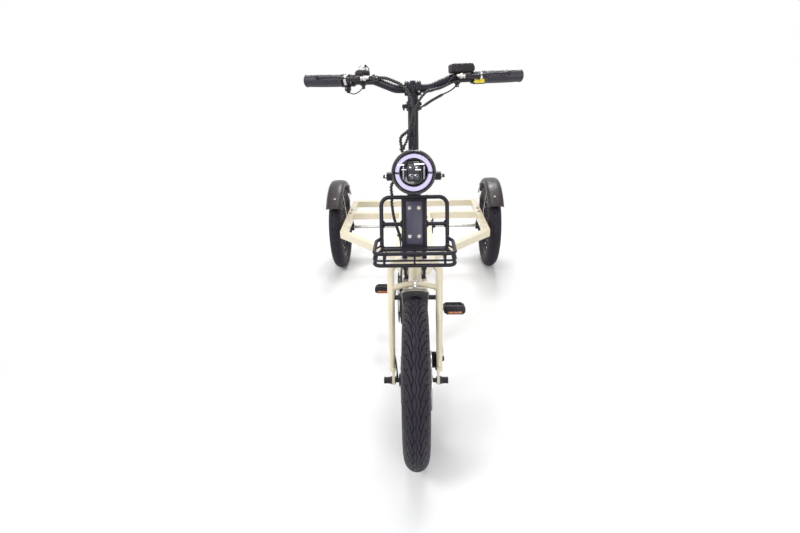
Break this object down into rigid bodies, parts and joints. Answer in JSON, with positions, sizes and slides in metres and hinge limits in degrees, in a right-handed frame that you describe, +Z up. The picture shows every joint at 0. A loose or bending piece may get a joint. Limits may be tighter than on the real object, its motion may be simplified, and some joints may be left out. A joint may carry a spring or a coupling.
{
  "type": "electric cargo tricycle",
  "caption": "Electric cargo tricycle with a steered front hub-motor wheel, wire front tray, low frame and a bare rear load deck between fendered wheels.",
  "frame": {"origin": "on the ground, midway between the tyres' foremost and rearmost points and on the centre line", "axes": "+Z up, -Y to the front, +X to the rider's left"},
  "size_m": [0.871, 1.75, 1.0134],
  "materials": {
    "frame_paint": "warm ivory gloss paint",
    "black_paint": "satin black powder coat",
    "black_plastic": "moulded black plastic",
    "lamp_gloss": "gloss black",
    "lamp_glass": "clear lens with a pale halo ring behind it",
    "fender_metal": "warm grey",
    "steel": "zinc plated and bare steel",
    "chrome": "polished",
    "rubber": "ribbed",
    "cable_sheath": "satin sheath",
    "tyre": "near black with a street tread",
    "saddle_cover": "black synthetic leather",
    "amber_reflector": "moulded amber prisms",
    "yellow_switch": "plain yellow face on a black pod"
  },
  "bodies": {
    "frame": {"head_tube": "frame_paint", "headset_cups": "black_paint", "main_tube": "frame_paint", "bottom_bracket": "frame_paint", "seat_tube": "frame_paint", "chain_stays": "frame_paint", "load_deck": "frame_paint", "axle_bearings": "black_paint", "brake_anchor": "black_paint", "rear_fenders": "black_plastic", "fender_stays": "steel", "front_rack": "black_paint", "rack_tray": "black_paint", "headlight_housing": "lamp_gloss", "headlight_lens": "lamp_glass", "headlight_bracket": "black_paint", "battery": "black_plastic", "chain": "steel", "loom_lower": "cable_sheath"},
    "steering": {"fork": "frame_paint", "front_axle": "black_paint", "front_fender": "fender_metal", "front_caliper": "black_paint", "stem": "black_paint", "handlebar": "black_paint", "grips": "rubber", "brake_levers": "black_plastic", "light_switch": "yellow_switch", "throttle": "black_plastic", "display": "black_plastic", "bell": "chrome", "steering_cables": "cable_sheath", "loom_bend": "cable_sheath"},
    "front_wheel": {"front_tyre": "tyre", "front_rim": "black_paint", "hub_motor": "black_paint", "front_brake_disc": "steel"},
    "rear_axle": {"rear_axle": "steel", "rear_sprocket": "steel", "brake_drum": "steel", "rear_wheel_right": "black_paint", "rear_tyre_right": "tyre"},
    "rear_wheel_left": {"rear_wheel_left": "black_paint", "rear_tyre_left": "tyre"},
    "crank": {"crank_arms": "black_paint", "chainring": "black_paint"},
    "pedal_left": {"pedal_left": "black_plastic", "pedal_reflectors_left": "amber_reflector"},
    "pedal_right": {"pedal_right": "black_plastic", "pedal_reflectors_right": "amber_reflector"},
    "seat": {"seat_post": "steel", "saddle": "saddle_cover"}
  },
  "joints": [
    {"name": "steering_turn", "type": "hinge", "parent": "frame", "child": "steering", "pos_m": [0, -0.60471, 0.21261], "axis": [0, 0.342, 0.9397], "range_deg": [-40, 40], "deforming": ["loom_bend"]},
    {"name": "front_wheel_spin", "type": "hinge", "parent": "steering", "child": "front_wheel", "pos_m": [0, -0.647, 0.228], "axis": [1, 0, 0], "continuous": true},
    {"name": "rear_axle_spin", "type": "hinge", "parent": "frame", "child": "rear_axle", "pos_m": [0, 0.657, 0.218], "axis": [1, 0, 0], "continuous": true},
    {"name": "rear_left_wheel_spin", "type": "hinge", "parent": "frame", "child": "rear_wheel_left", "pos_m": [0.396, 0.657, 0.218], "axis": [1, 0, 0], "continuous": true},
    {"name": "crank_spin", "type": "hinge", "parent": "frame", "child": "crank", "pos_m": [0, -0.222, 0.255], "axis": [1, 0, 0], "continuous": true},
    {"name": "pedal_left_spin", "type": "hinge", "parent": "crank", "child": "pedal_left", "pos_m": [0, -0.38077, 0.29993], "axis": [1, 0, 0], "continuous": true},
    {"name": "pedal_right_spin", "type": "hinge", "parent": "crank", "child": "pedal_right", "pos_m": [0, -0.06323, 0.21007], "axis": [1, 0, 0], "continuous": true},
    {"name": "seat_height", "type": "slide", "parent": "frame", "child": "seat", "axis": [0, 0.342, 0.9397], "range_m": [0, 0.12]}
  ]
}
